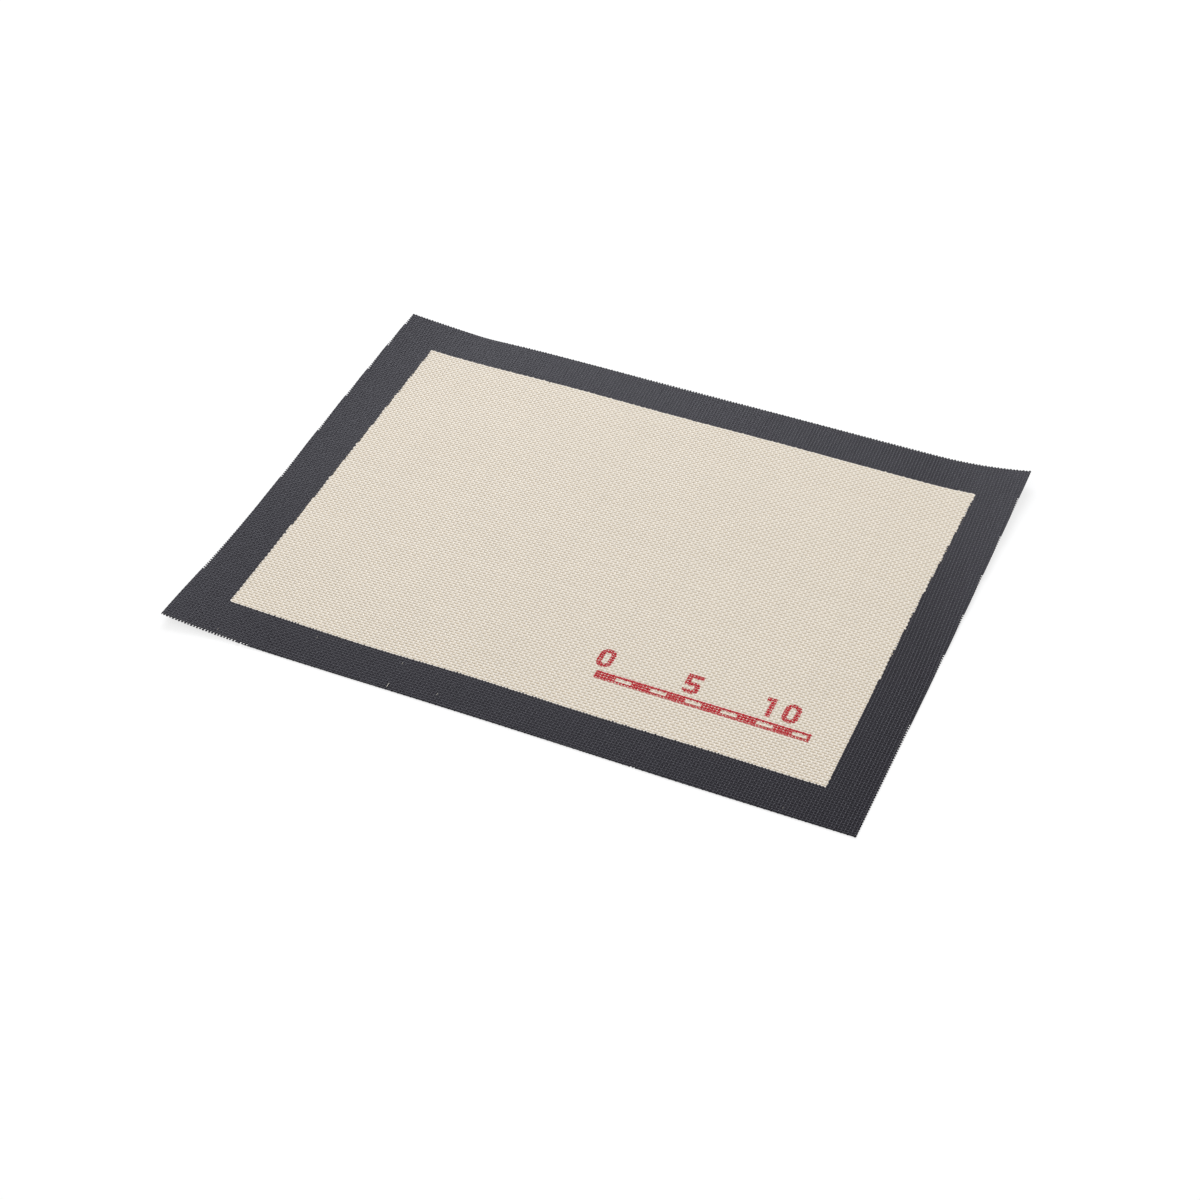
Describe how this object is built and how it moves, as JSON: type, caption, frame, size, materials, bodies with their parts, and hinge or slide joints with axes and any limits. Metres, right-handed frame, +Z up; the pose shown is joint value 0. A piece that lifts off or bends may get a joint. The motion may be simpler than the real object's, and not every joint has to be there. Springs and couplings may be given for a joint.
{
  "type": "silicone baking mat",
  "caption": "Flexible open-mesh baking mat: woven glass-fibre cloth coated with pale silicone, with a charcoal silicone border and a printed red centimetre scale",
  "frame": {"origin": "middle of the mat's outline, on the plane that its flat underside rests on", "axes": "+X along the long side to the right, +Y along the short side to the back, away from the edge that the printed scale is near, +Z up out of the baking face"},
  "size_m": [0.4, 0.3, 0.0075],
  "materials": {
    "glass_fibre_cloth": "plain-woven glass-fibre yarn",
    "pale_silicone": "satin cream silicone over an open weave",
    "charcoal_silicone": "satin charcoal silicone over an open weave",
    "red_ink": "matt red silicone ink on the crowns of the weave"
  },
  "bodies": {
    "root": {"glass_cloth": "glass_fibre_cloth", "field_coat_lower": "pale_silicone", "field_coat_upper": "pale_silicone", "border_coat_lower": "charcoal_silicone", "border_coat_upper": "charcoal_silicone", "scale_print": "red_ink"}
  },
  "joints": []
}
